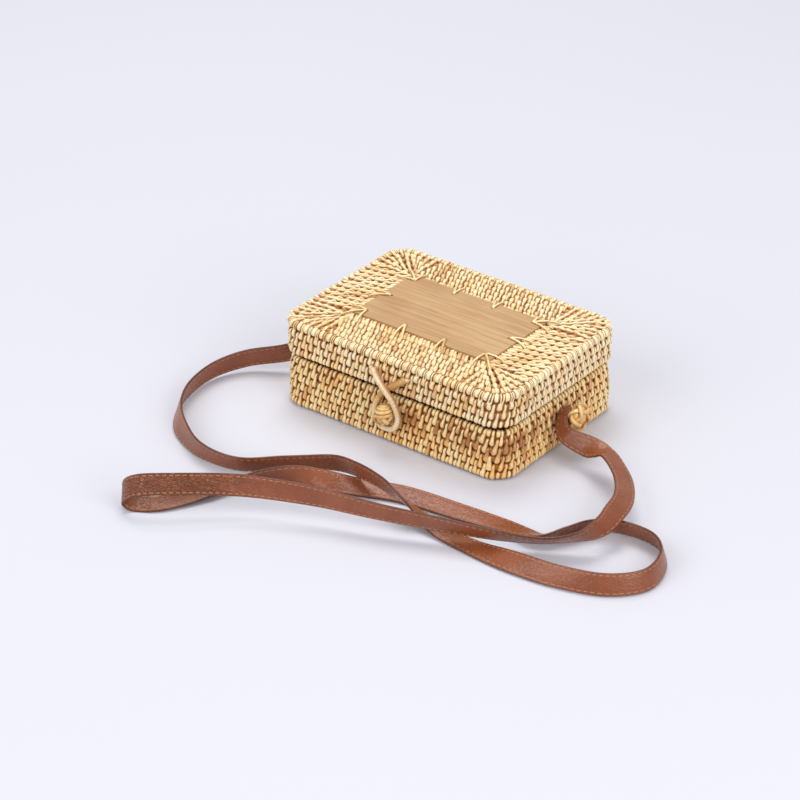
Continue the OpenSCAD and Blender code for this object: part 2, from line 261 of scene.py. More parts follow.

# %% [markdown]
# ## The strap
# The strap is a flat strip of brown leather, folded and sewn along both edges. It leaves a button on each
# end wall and lies in front of the box in two loose loops that cross. It could be a curve with a bevel, but
# a curve can't be told where to stand on edge and where to lie flat. So the strip is swept: each row of the
# table gives the middle, the way that the width points, and the width, which is less where the end is
# folded round a button's stem.

# %% The route of the strap
FULL, FOLD = 15.5, 8.6
ROUTE = [
    [-106, -7.5, 20.8, -1, 0, 0, FOLD], [-104.3, -1, 22.6, -1, 0, 0, FOLD],
    [-104.3, 3.4, 26, -1, 0, 0, FOLD], [-104.3, 2.2, 31, -1, 0, 0, FOLD],
    [-104.3, -2.6, 31.4, -1, 0, 0, FOLD], [-104.4, -7.4, 28, -0.95, 0.1, 0.2, FOLD],
    [-108, -15, 23.4, -0.6, 0.2, 0.75, 11.5], [-120, -34, 16.5, 0.1, -0.1, 1, FULL],
    [-145, -54, 11.5, 0.1, -0.1, 1, FULL], [-156, -80, 9, 0.2, 0, 1, FULL],
    [-152, -112, 8.6, 0.2, 0, 1, FULL], [-139, -138, 8.2, 0.3, 0.2, 0.9, FULL],
    [-120, -156, 8.2, 0.3, 0.3, 0.9, FULL], [-90, -170, 8.4, 0, -0.2, 1, FULL],
    [-58, -168, 8, 0.1, -0.4, 0.9, FULL], [-33, -147, 8, 0.2, -0.3, 0.9, FULL],
    [-5, -128, 9.2, 0.1, -0.3, 0.9, FULL], [24, -135, 16.6, -0.1, -0.3, 1, FULL],
    [51, -142, 18.6, -0.1, -0.3, 0.9, FULL], [70, -146, 15.5, 0, -0.6, 0.8, FULL],
    [84, -144, 7.5, 0, -0.9, 0.4, FULL], [104, -146, 2.2, -0.1, -1, 0, FULL],
    [133, -149, 2.6, -0.1, -1, -0.1, FULL], [167, -152, 6.5, 0, -0.7, -0.7, FULL],
    [199, -150, 7.7, 0.1, -0.5, -0.9, FULL], [231, -139, 7.7, 0.2, -0.4, -0.9, FULL],
    [249, -118, 8, 0.3, -0.1, -0.9, FULL], [245, -92, 8.2, 0.2, 0.1, -1, FULL],
    [228, -75, 8, 0.2, 0.3, -0.9, FULL], [202, -74, 7.9, -0.1, 0.4, -0.9, FULL],
    [182, -85, 7.6, -0.3, 0.4, -0.9, FULL], [171, -102, 7.2, -0.5, 0.4, -0.8, FULL],
    [159, -114, 5.4, -0.3, 0.9, -0.4, FULL], [132, -115, 3.2, -0.1, 1, 0, FULL],
    [99, -119, 3.3, -0.1, 1, 0.2, FULL], [55, -125, 3.9, -0.2, 0.9, 0.3, FULL],
    [25, -136, 4, -0.3, 0.9, 0.3, FULL], [1, -148, 6.8, -0.3, 0.7, 0.7, FULL],
    [-25, -159, 8, 0.2, -0.3, 0.9, FULL], [-46, -177, 6, 0.7, -0.4, 0.6, FULL],
    [-57, -205, 3.2, 0.9, -0.4, 0.1, FULL], [-72, -233, 2.6, 0.8, -0.6, -0.1, FULL],
    [-87, -244.6, 3.4, 0.6, -0.7, -0.35, FULL], [-91, -250.8, 12, 0.4, -0.5, -0.75, FULL],
    [-79.7, -252.3, 23, 0.32, -0.42, -0.85, FULL], [-61.7, -241.6, 26, 0.3, -0.4, -0.87, FULL],
    [-21.8, -208.9, 24, 0.2, -0.4, -0.9, FULL], [22, -187.5, 22, 0, -0.1, -1, FULL],
    [66, -172.8, 19, -0.1, 0.2, -1, FULL], [104, -157, 16, -0.1, 0.3, -0.9, FULL],
    [145, -140, 13.2, -0.2, 0.5, -0.8, FULL], [172, -125, 12, -0.4, 0.6, -0.7, FULL],
    [191, -112, 16, -0.4, 0.4, -0.8, FULL], [199, -98, 20, 0.3, 0, -1, FULL],
    [198, -82, 21.5, 0.8, 0.3, -0.6, FULL], [191, -59, 20, 0.8, 0.38, -0.5, FULL],
    [175, -36, 18.5, 0.66, 0.62, -0.38, FULL], [155, -21, 20.5, 0.38, 0.84, -0.36, FULL],
    [143, -17, 19.5, 0.42, 0.8, 0.25, FULL], [130, -15.5, 18.5, 0.4, 0.5, 0.8, FULL],
    [113, -16, 21.6, 0.7, 0.4, 0.6, 12.5], [104.4, -7.4, 28, 0.95, 0.1, 0.2, FOLD],
    [104.3, -2.6, 31.4, 1, 0, 0, FOLD], [104.3, 2.2, 31, 1, 0, 0, FOLD], [104.3, 3.4, 26, 1, 0, 0, FOLD],
    [104.3, -1, 22.6, 1, 0, 0, FOLD], [105, -7.5, 20.4, 1, 0, 0, FOLD],
]
print("the strap's route has", len(ROUTE), "rows")

# %% [markdown]
# ## Ways along the strap
# Real leather turns over gently. The ways of the width are made square to the run, evened over the
# neighbouring points, and made square again. The third way, out of the strap's face, follows from the other
# two.

# %% Ways along the strap
ROUTE_STEPS, EVEN_OVER = 12, 6
swept = smooth(ROUTE, ROUTE_STEPS)
middle, wide = swept[:, :3], swept[:, 6]
forward = unit(np.gradient(middle, axis=0))


def square_to_run(ways):
    """The ways without what points along the strap."""
    return unit(ways - forward*np.sum(forward*ways, axis=1, keepdims=True))


def evened(ways):
    """The running mean of the ways."""
    padded = np.pad(ways, ((EVEN_OVER, EVEN_OVER), (0, 0)), "edge")
    window = np.ones(2*EVEN_OVER + 1)/(2*EVEN_OVER + 1)
    return np.stack([np.convolve(column, window, "valid") for column in padded.T], 1)


across_way = square_to_run(evened(square_to_run(swept[:, 3:6])))
face_way = np.cross(forward, across_way)
run = np.concatenate([[0], np.cumsum(np.linalg.norm(np.diff(middle, axis=0), axis=1))])
turning = np.sum(np.gradient(forward, axis=0)*face_way, axis=1)/np.gradient(run)
print("strap", round(run[-1]), "mm long, tightest bend", round(1/np.abs(turning).max(), 1), "mm")

# %% [markdown]
# ## Leather
# The leather is smooth-tanned and a little glossy, with a fine pebble grain, darker at its cut edges, and
# crackled on the stretch by the left curl that hands hold most. A picture of leather could be wrapped round
# the strip, but it would stretch where the strip turns. Noise needs no picture: small cells give the
# pebbles, and the borders of larger, wandering cells give the crackle, let through where the strip is worn.
# Pale specks of a fine noise are painted highlights on the grain, and the crackle's lines are tinted a
# little darker as painted shade.

# %% Leather
def leather_finish():
    f = Finish("strap_leather")
    across, along, worn = f.attribute("across"), f.attribute("along"), f.attribute("worn")
    place = f.place()
    pebbles = f.node("ShaderNodeTexVoronoi", {"feature": "SMOOTH_F1"}, {"Vector": place, "Scale": 800.0})
    cloud = f.noise(place, 45.0, 4.0)
    fine = f.noise(place, 620.0, 2.0)
    wander = f.noise(f.vector(along*0.25, across*1.9, 0.0), 1.0, 3.0)
    cells = f.vector(along*0.24 + wander*2.0, across*4.2 + wander*2.6, 0.0)
    crease = f.node("ShaderNodeTexVoronoi", {"feature": "DISTANCE_TO_EDGE"}, {"Vector": cells, "Scale": 1.0})
    crease = (1 - crease.ramp(0.0, 0.22))*(0.05 + worn*0.95)
    edge = (across*across).ramp(0.84, 0.99)
    tint = f.mix(cloud.ramp(0.3, 0.7), colour(0.50, 0.262, 0.142), colour(0.555, 0.305, 0.176))
    # Painted highlight: pale specks where the fine noise is high, for glints on the pebble grain.
    tint = f.mix(fine.ramp(0.45, 0.7)*0.1, tint, colour(0.72, 0.46, 0.31))
    # Painted shade: the crackle's lines a little darker.
    tint = f.mix(crease*0.1, tint, colour(0.30, 0.15, 0.09))
    tint = f.mix(edge*0.75, tint, colour(0.24, 0.12, 0.075))
    height = pebbles*0.2 + fine*0.1 - crease*3.6
    return f.set(
        base_color=tint,
        roughness=0.27 + cloud*0.1 - fine*0.1,
        normal=f.bump(height, 0.9, 0.0005),
    )


LEATHER = leather_finish()
print("finish:", LEATHER.name)

# %% [markdown]
# ## Thread
# The sewing thread is twisted, dull and paler than the leather. Its twist is too fine to model at this
# size, so one noise along each stitch both tints and bumps it.

# %% Thread
def thread_finish():
    f = Finish("strap_thread")
    twist = f.noise(f.vector(f.attribute("along")*9.0, f.attribute("across")*1.5, f.attribute("tone")*9.0), 1.0)
    return f.set(
        base_color=f.mix(twist.ramp(0.3, 0.7), colour(0.56, 0.38, 0.27), colour(0.74, 0.56, 0.44)),
        roughness=0.7,
        normal=f.bump(twist, 0.4, 0.0001),
    )


THREAD = thread_finish()
print("finish:", THREAD.name)

# %% [markdown]
# ## The leather strip
# The strip's section is plump in the middle, sinks a little under each sewn line, and has rounded edges. A
# flat sheet with thickness added would have square edges, so the section is a ring of points, set out at
# every point of the route and closed at both ends.

# %% The leather strip
UPPER = [(0.985, 0.5), (0.94, 0.82), (0.86, 0.98), (0.76, 0.8), (0.66, 1.0), (0.4, 1.07), (0.0, 1.1)]
top = UPPER + [(-x, y) for x, y in UPPER[-2::-1]]
section = np.array([(1.0, 0.0)] + top + [(-1.0, 0.0)] + [(x, -y) for x, y in reversed(top)])
WORN_MOST, WORN_AFTER, WORN_OVER = 0.9, 45, 42
LEFT_TO_RIGHT = np.array([0.795, 0.606, 0])
curl = run[np.argmin(middle @ LEFT_TO_RIGHT)]
worn = WORN_MOST*np.exp(-((run - curl - WORN_AFTER)/WORN_OVER)**2)

strap_heap = Heap()
sheet = middle[:, None] + across_way[:, None]*(section[None, :, :1]*wide[:, None, None]/2)
sheet = sheet + face_way[:, None]*section[None, :, 1:]
ends = [np.repeat(middle[i][None, None], len(section), 1) for i in (0, -1)]
sheet = np.concatenate([ends[0], sheet, ends[1]])
strap_heap.grids(
    sheet[None], closed=True, across=section[None, None, :, 0],
    along=np.pad(run, 1, "edge")[None, :, None], worn=np.pad(worn, 1, "edge")[None, :, None],
)
strap = strap_heap.make("strap_leather", "base", "strap_leather", LEATHER, ["strap"])

# %% [markdown]
# ## Sewing
# A line of stitches runs along each edge. A bump could draw them, but a real stitch stands up and catches
# the light, so each is a small domed patch, bowed from end to end. They are on both faces, because the
# strap turns over and shows both.

# %% Sewing
DASH, PAUSE, INSET, THREAD_W, DASH_POINTS = 2.9, 1.6, 1.85, 0.66, 6
starts = np.arange(9, run[-1] - 12, DASH + PAUSE)
at = starts[:, None] + np.linspace(0, DASH, DASH_POINTS)[None]


def along_strap(values, where):
    """The values of the strap's points, at other distances along it."""
    return np.stack([np.interp(where, run, values[:, i]) for i in range(values.shape[1])], -1)


thread_heap = Heap()
bow = np.sin(np.linspace(0.12, math.pi - 0.12, DASH_POINTS))
turn = np.linspace(-1.5, 1.5, 5)
share = np.linspace(0, 1, DASH_POINTS)
for edge in (-1, 1):
    for face in (-1, 1):
        out = along_strap(across_way, at)*edge*(np.interp(at, run, wide)[..., None]/2 - INSET)
        up = along_strap(face_way, at)*face
        line = along_strap(middle, at) + out + up*(0.74 + 0.16*bow[None, :, None])
        side = np.cross(along_strap(forward, at), up)
        dash = line[:, :, None] + side[:, :, None]*(np.sin(turn)*THREAD_W/2)[None, None, :, None]
        dash = dash + up[:, :, None]*(np.cos(turn)[None, None, :, None]*(0.1 + 0.22*bow[None, :, None, None]))
        tones = np.random.default_rng(edge*2 + face + 5).random(len(dash))
        thread_heap.grids(
            dash, along=share[None, :, None], across=turn[None, None], tone=tones[:, None, None],
        )
thread = thread_heap.make("strap_thread", "base", "strap_leather", THREAD)
(middle*MM).tolist()
print("sewn with", 4*len(starts), "stitches")

# %% [markdown]
# ## Rattan
# Every strand is a split of the cane's skin: pale cream to honey under clear lacquer, with fine fibres
# along it. Its colour is darkened where it is tucked in and along both its edges: that is painted shade. A
# material for each strand would be a waste. The tone that a strand carries moves it between the two ends
# of a colour range, so the same nodes serve all the woven pieces, and only the colours and the gloss
# differ. The base's strands also have redder stains in patches, some way below the rim.

# %% Rattan finish
def rattan_finish(name, pale, honey, stain_and_shade, gloss=0.24, stained=False):
    f = Finish(name)
    tone, along, across = f.attribute("tone"), f.attribute("along"), f.attribute("across")
    place = f.place()
    fibre = f.noise(f.vector(across*2.6, along*1.2, tone*60.0), 1.6, 4.0, 0.6)
    patch = f.noise(place, 28.0, 2.0)
    cloud = f.noise(place, 240.0, 2.0)
    shade = (tone*0.62 + patch.ramp(0.35, 0.68)*0.38).ramp(0.12, 0.95)
    tint = f.mix(shade, pale, honey)
    tint = f.mix(tone.ramp(0.86, 0.93)*0.35, tint, stain_and_shade)
    tint = f.mix(fibre.ramp(0.5, 0.78)*0.4, tint, stain_and_shade)
    tint = f.mix(cloud.ramp(0.56, 0.75)*0.25, tint, stain_and_shade)
    if stained:
        z = f.node("ShaderNodeSeparateXYZ", None, {0: place}, out=2)
        under_rim = z.ramp(0.014, 0.024)*(1 - z.ramp(0.030, 0.034))
        blot = f.noise(place, 16.0, 3.0).ramp(0.47, 0.62)
        tint = f.mix(under_rim*blot*tone.ramp(0.2, 0.8)*0.75, tint, colour(0.62, 0.36, 0.15))
    # Painted shade: the colour darkens towards both tucked ends of a strand (along) and towards its two edges
    # (across).
    tucked = (along*2.0 - 1.0)*(along*2.0 - 1.0)
    tint = f.mix(tucked.ramp(0.45, 1.0)*0.75, tint, stain_and_shade)
    tint = f.mix((across*across).ramp(0.16, 0.95)*0.92, tint, stain_and_shade)
    return f.set(
        base_color=tint,
        roughness=gloss + fibre*0.14,
        coat_weight=0.5,
        normal=f.bump(fibre + cloud*0.5, 0.35, 0.00018),
    )


# These colours give the strands' real stains and also their painted shade at tucked ends and edges.
STAIN_AND_SHADE = colour(0.61, 0.355, 0.13)
ROD_STAIN_AND_SHADE, BASE_ROD_STAIN_AND_SHADE = colour(0.44, 0.25, 0.11), colour(0.34, 0.18, 0.07)
RATTAN_LID = rattan_finish("rattan_lid", colour(1.0, 0.935, 0.755), colour(1.0, 0.84, 0.56), STAIN_AND_SHADE)
RATTAN_TOP = rattan_finish("rattan_top", colour(0.99, 0.90, 0.70), colour(0.95, 0.80, 0.55), STAIN_AND_SHADE)
RATTAN_BASE = rattan_finish(
    "rattan_base", colour(1.0, 0.905, 0.655), colour(0.98, 0.755, 0.41), STAIN_AND_SHADE, stained=True)
RATTAN_LACE = rattan_finish("rattan_lace", colour(0.98, 0.90, 0.68), colour(0.92, 0.78, 0.50), STAIN_AND_SHADE)
RATTAN_LOOP = rattan_finish("rattan_loop", colour(0.97, 0.89, 0.74), colour(0.89, 0.72, 0.43), STAIN_AND_SHADE)
RATTAN_KNOT = rattan_finish("rattan_knot", colour(0.98, 0.85, 0.57), colour(0.88, 0.65, 0.34), STAIN_AND_SHADE, 0.16)
RATTAN_ROD = rattan_finish("rattan_rod", colour(0.80, 0.54, 0.28), colour(0.68, 0.43, 0.20), ROD_STAIN_AND_SHADE)
BASE_ROD = rattan_finish(
    "rattan_base_rod", colour(0.70, 0.43, 0.20), colour(0.56, 0.32, 0.14), BASE_ROD_STAIN_AND_SHADE)
print("rattan finishes:", sum(m.name.startswith("rattan") for m in bpy.data.materials))

# %% [markdown]
# ## The plan of a row
# Each rod runs round the box on a rounded rectangle. A curve object could be that line, but the stitches
# stand at even distances along it and have to know which way is out. So a plan gives, for a distance, the
# point, the way the row runs and the way out. Distance starts at the left end of the front side and goes
# counter-clockwise seen from above.

# %% Plans of the rows
LID_W, LID_D, CORNER_R, BASE_INSET, ROW_R = 200.0, 145.0, 18.5, 0.75, 3.65


class Plan:
    """A rounded rectangle with half sizes x and y and corner radius r."""

    def __init__(self, x, y, r):
        self.x, self.y, self.r = x, y, r
        straight = [2*(x - r), 2*(y - r)]*2
        arc = math.pi*r/2
        self.starts = np.cumsum([0] + [length for side in straight for length in (side, arc)])
        self.length = self.starts[-1]

    def at(self, s):
        """Points, ways along and ways out at the distances s, all in the plane."""
        s = np.mod(s, self.length)
        part = np.clip(np.searchsorted(self.starts, s, side="right") - 1, 0, 7)
        side, on = part//2, s - self.starts[part]
        reach = np.where(side % 2 == 0, self.x, self.y) - self.r
        depth = np.where(side % 2 == 0, self.y, self.x)
        angle = np.where(part % 2 == 0, 0, on/self.r)
        along = np.where(part % 2 == 0, on - reach, reach + self.r*np.sin(angle))
        out = np.where(part % 2 == 0, depth, depth - self.r + self.r*np.cos(angle))
        turn = side*math.pi/2
        point = np.stack([along*np.cos(turn) + out*np.sin(turn), along*np.sin(turn) - out*np.cos(turn)], -1)
        way = angle + turn
        return point, np.stack([np.cos(way), np.sin(way)], -1), np.stack([np.sin(way), -np.cos(way)], -1)


def with_z(plane, z):
    """Points of the plane with a height added."""
    return np.concatenate([plane, np.broadcast_to(z, plane.shape[:-1])[..., None]], -1)


LID_PLAN = Plan(LID_W/2 - ROW_R, LID_D/2 - ROW_R, CORNER_R - ROW_R)
BASE_PLAN = Plan(
    LID_W/2 - BASE_INSET - ROW_R, LID_D/2 - BASE_INSET - ROW_R, CORNER_R - BASE_INSET - ROW_R)
print("a lid row is", round(LID_PLAN.length), "mm round, a base row", round(BASE_PLAN.length), "mm")

# %% [markdown]
# ## One stitch
# A stitch starts as a thin tail, tucked in above the upper of two rods, runs over that rod between two
# other stitches, swells as it crosses the lower rod, and is pulled in hard below it. It could be sculpted
# once and copied, but every place on the bag needs its own length and bend. So its line is a small table of
# angles round the two rods: which rod, the angle up from straight out, the distance from the rod's middle,
# the width and the thickness.

# %% Lines of the stitches
ROW_PITCH = 6.8
LONG = np.array([
    (1, 80, 2.0, 1.5, 0.3), (1, 44, 2.3, 2.1, 0.95), (1, 6, 2.3, 2.4, 1.25), (1, -32, 2.3, 2.7, 1.35),
    (0, 55, 3.0, 3.2, 1.45), (0, 28, 2.35, 3.9, 1.65), (0, -4, 2.0, 4.4, 1.75), (0, -36, 2.0, 4.3, 1.65),
    (0, -64, 2.0, 3.7, 1.25), (0, -92, 2.1, 2.5, 0.4),
])
SHORT = np.concatenate([[(0, 80, 3.6, 2.2, 0.4), (0, 58, 3.1, 3.0, 1.3)], LONG[5:]])
INNER = np.concatenate([[(0, 49, 5.2, 4.2, 0.4), (0, 46, 4.0, 4.2, 1.1)], LONG[5:]])
BETWEEN = np.array([
    (0, 50, 5.0, 2.6, 0.3), (0, 46, 3.9, 2.6, 0.9), (0, 28, 2.4, 2.7, 1.3), (0, -4, 2.1, 2.7, 1.4),
    (0, -40, 2.0, 2.5, 1.2), (0, -72, 2.0, 1.6, 0.4),
])
LOWEST = np.concatenate([LONG[:7], [(0, -32, 2.0, 4.2, 1.6), (0, -60, 1.6, 3.5, 1.1), (0, -84, 1.1, 2.4, 0.3)]])
TAIL = LONG[:7]
FILL = np.array([
    (0, 64, 3.0, 1.6, 0.4), (0, 36, 2.4, 2.4, 1.1), (0, 4, 2.2, 2.8, 1.4), (0, -30, 2.1, 2.8, 1.4),
    (0, -60, 1.8, 2.4, 1.0), (0, -86, 1.4, 1.6, 0.3),
])
BEAD = np.array([
    (0, 138, 2.1, 2.2, 0.4), (0, 112, 2.1, 3.1, 1.2), (0, 86, 2.0, 3.7, 1.6), (0, 58, 2.0, 4.0, 1.8),
    (0, 26, 2.0, 4.1, 1.85), (0, -8, 2.0, 4.1, 1.85), (0, -44, 2.0, 3.7, 1.5), (0, -78, 2.1, 2.6, 0.4),
])
THIN = np.array([
    (0, 150, 2.2, 1.0, 0.4), (0, 112, 2.3, 1.25, 0.8), (0, 72, 2.3, 1.3, 0.9), (0, 30, 2.3, 1.3, 0.9),
    (0, -14, 2.35, 1.3, 0.9), (0, -46, 2.6, 1.4, 1.0), (-1, 58, 3.4, 1.6, 1.15), (-1, 34, 2.9, 1.4, 0.8),
])
OVER_RIM = np.concatenate([
    [(1, 140, 0.8, 1.8, 0.4), (1, 112, 0.8, 2.4, 1.0), (1, 80, 0.9, 2.7, 1.3), (1, 40, 1.5, 2.8, 1.55),
     (1, -6, 2.2, 2.7, 1.5), (1, -38, 2.4, 2.7, 1.4)],
    LONG[4:],
])
RIM_BEAD = np.array([
    (0, 140, 0.8, 1.8, 0.4), (0, 112, 0.8, 2.5, 1.0), (0, 80, 0.9, 3.1, 1.4), (0, 40, 1.5, 3.5, 1.8),
    (0, 0, 2.1, 3.5, 1.9), (0, -36, 2.2, 3.0, 1.4), (0, -70, 2.3, 2.0, 0.4),
])
print("a long stitch covers", round(ROW_PITCH + 2*ROW_R, 1), "mm of the wall")

# %% [markdown]
# ## Laying strands
# A flat strand of cane is domed across. A tube with a flattened section would do, but its back is never
# seen and would double the mesh, so a strand is an open patch, thin at both ends. All the strands of a row
# are laid in one go. Rows that are only seen when the bag is open take coarser patches.

# %% Laying strands
FINE, COARSE = (2, 6), (1, 5)
DOME = 1.45


def lay(heap, control, rowway, width, thick, seed, detail=FINE, dark=1.0):
    """Lays strands as thin domed patches. control and rowway are strands by points by 3."""
    steps, columns = detail
    basis = smooth(np.eye(control.shape[1]), steps)
    line = np.einsum("rc,ncd->nrd", basis, control)
    rowway = np.einsum("rc,ncd->nrd", basis, rowway)
    width = np.einsum("rc,nc->nr", basis, width)
    thick = np.einsum("rc,nc->nr", basis, thick)
    forward = unit(np.gradient(line, axis=1))
    rowway = unit(rowway - forward*np.sum(forward*rowway, -1, keepdims=True))
    face = np.cross(forward, rowway)
    turn = np.linspace(-DOME, DOME, columns)
    patch = line[:, :, None] - rowway[:, :, None]*(np.sin(turn)*width[..., None]/2)[..., None]
    patch = patch + face[:, :, None]*(np.cos(turn)*thick[..., None])[..., None]
    tone = np.random.default_rng(seed).random(len(line))*dark
    heap.grids(
        patch, tone=tone[:, None, None], along=np.linspace(0, 1, line.shape[1])[None, :, None],
        across=np.sin(turn)[None, None],
    )


for name, (steps, columns) in (("fine", FINE), ("coarse", COARSE)):
    print("a", name, "long stitch has", 2*steps*(len(LONG) - 1)*(columns - 1), "triangles")

# %% [markdown]
# ## Stitches round a wall
# In one row the stitches stand one pitch apart, and each row is half a pitch on from the one below, like
# bricks, so a tail always finds room between two bodies. An array of one stitch would be too even. Here
# place, lean, width and thickness vary a little for each stitch, from a seed. The base's wall also leans in
# where it is pulled in under the lid.

# %% Wall weaver
STITCH_PITCH, LEAN = 6.8, -0.2
PLACE_VARIES, LEAN_VARIES, SWELL_VARIES, WIDTH_VARIES, THICK_VARIES = 0.24, 0.055, 0.035, 0.085, 0.07
DRAWN_MOST, DRAWN_FROM, DRAWN_OVER, SEAM_Z = 2.0, 21, 16, 44


def drawn_in(z):
    """How far the base's wall leans in at the height z: it is pulled in under the lid."""
    share = np.clip((z - DRAWN_FROM)/DRAWN_OVER, 0, 1)
    return DRAWN_MOST*share**1.6*(np.asarray(z) < SEAM_Z)


def weave_wall(heap, plan, z, row, line, seed, inside=False, slide=0.0, up=ROW_PITCH, dark=1.0, detail=FINE):
    """One row of stitches on a wall, by the table line, at the height z of its rod."""
    dice = np.random.default_rng(seed)
    many = round(plan.length/STITCH_PITCH)
    pitch = plan.length/many
    s = (np.arange(many) + 0.5*(row % 2))*pitch - LEAN*up*row + slide + dice.normal(0, PLACE_VARIES, many)
    angle = np.radians(line[:, 1])
    rise = line[:, 0]*up + line[:, 2]*np.sin(angle)
    leans = LEAN + dice.normal(0, LEAN_VARIES, many)
    point, way, out = plan.at(s[:, None] - leans[:, None]*rise[None])
    swell = 1 + dice.normal(0, SWELL_VARIES, (many, 1))
    point = point - out*drawn_in(z + line[:, 0]*up)[None, :, None]
    if inside:
        way, out = -way, -out
    control = with_z(point + out*(line[:, 2]*np.cos(angle)*swell)[..., None], z + rise)
    rowway = with_z(way, 0.0)
    width = line[None, :, 3]*(1 + dice.normal(0, WIDTH_VARIES, (many, 1)))
    thick = line[None, :, 4]*(1 + dice.normal(0, THICK_VARIES, (many, 1)))
    lay(heap, control, rowway, width, thick, seed + 500, detail, dark)


print("a lid row takes", round(LID_PLAN.length/STITCH_PITCH), "stitches")

# %% [markdown]
# ## Rods, and the web behind them
# Under the stitches lie the rods, seen only in the gaps, and between the rods the back of the weave. The
# smooth rows of the frame could show there, but they are too fat to lie under a stitch. A thinner tube that
# follows the same plan leaves the gaps dark, and a plain strip closes them.

# %% Rods and web
ROD_R, ROD_STEP, WEB_STEP, WEB_TONE = 2.35, 3.0, 4.0, 0.7


def rod(heap, plan, z, radius, seed, sides=10):
    """The rod of one row, a tube round the box."""
    s = np.arange(0, plan.length, ROD_STEP)
    point, way, out = plan.at(np.append(s, s[0]))
    point = point - out*drawn_in(z)
    turn = np.linspace(0, 2*math.pi, sides, endpoint=False)
    ring = with_z(point, z)[:, None] + with_z(out, 0.0)[:, None]*(radius*np.cos(turn))[None, :, None]
    ring = ring + np.array([0, 0, radius])*np.sin(turn)[None, :, None]
    tone = np.random.default_rng(seed).random()
    heap.grids(ring[None, :, ::-1], closed=True, tone=tone, along=0.5, across=np.sin(5*turn)[None, None, ::-1])


def web(heap, plan, low, high):
    """The weave between the rods, seen only in the gaps."""
    s = np.arange(0, plan.length, WEB_STEP)
    point = plan.at(np.append(s, s[0]))[0]
    strip = np.stack([with_z(point, low), with_z(point, high)], 1)
    heap.grids(strip[None], tone=WEB_TONE)


print("rods are", 2*ROD_R, "mm thick")

# %% [markdown]
# ## The base
# Six rods make the wall of the base. The top one is the rim: there, short bright beads that bind only the
# rim take turns with long stitches that start on the row below and go over it. The wall could be a sheet
# with a bump, but the gaps and the ends of the stitches are what makes it look woven, so every stitch is
# there. The inside shows the back of the same work, in coarser patches. The rows lie a little closer than
# the lid's, so that the seam shows.

# %% Base wall
BASE_Z, BASE_ROWS, BASE_STEP, RIM_ROD_R = 4.05, 6, 6.5, 1.3
base_heap, base_rods = Heap(), Heap()
base_z = [BASE_Z + k*BASE_STEP for k in range(BASE_ROWS)]
rim = BASE_ROWS - 1


def weave_base(k, line, seed, dark=1.0):
    """Row k of the base's wall, seen from outside."""
    weave_wall(base_heap, BASE_PLAN, base_z[k], k, line, seed, up=BASE_STEP, dark=dark)


def weave_base_inside(k, line, seed):
    """Row k of the base's wall, seen from inside."""
    weave_wall(base_rods, BASE_PLAN, base_z[k], k, line, seed, inside=True, up=BASE_STEP, detail=COARSE)


for k in range(BASE_ROWS):
    rod(base_rods, BASE_PLAN, base_z[k], ROD_R if k < rim else RIM_ROD_R, k)
    if k < rim - 1:
        weave_base(k, LONG, 10 + k)
        weave_base_inside(k, LONG, 40 + k)
weave_wall(base_heap, BASE_PLAN, base_z[0], 1, FILL, 30, slide=LEAN*BASE_STEP, up=BASE_STEP)
weave_base(rim - 1, OVER_RIM, 20)
weave_base(rim, RIM_BEAD, 21, dark=0.4)
weave_base_inside(rim - 1, LONG, 50)
weave_base_inside(rim, RIM_BEAD, 51)
web(base_rods, BASE_PLAN, base_z[0], base_z[rim])
print("the base's rods lie at", [round(z, 2) for z in base_z], "mm")

# %% [markdown]
# ## Rows side by side
# On the lid's top the rods lie side by side and shrink towards the panel, and on the floor towards the
# middle. Along a straight side the stitches run across the rows with a lean. At a corner they fan out. The
# fan could be placed strand by strand, but it closes by itself if a strand keeps its share of the way round
# the corner from one row to the next.

# %% Band weaver
BAND_PLACE_VARIES, BAND_LEAN_VARIES, BAND_LOW_VARIES, BAND_SIZE_VARIES = 0.2, 0.05, 0.03, 0.07
CORNER_PITCH, CORNER_VARIES, MOST_STITCHES = 6.2, 0.05, 60


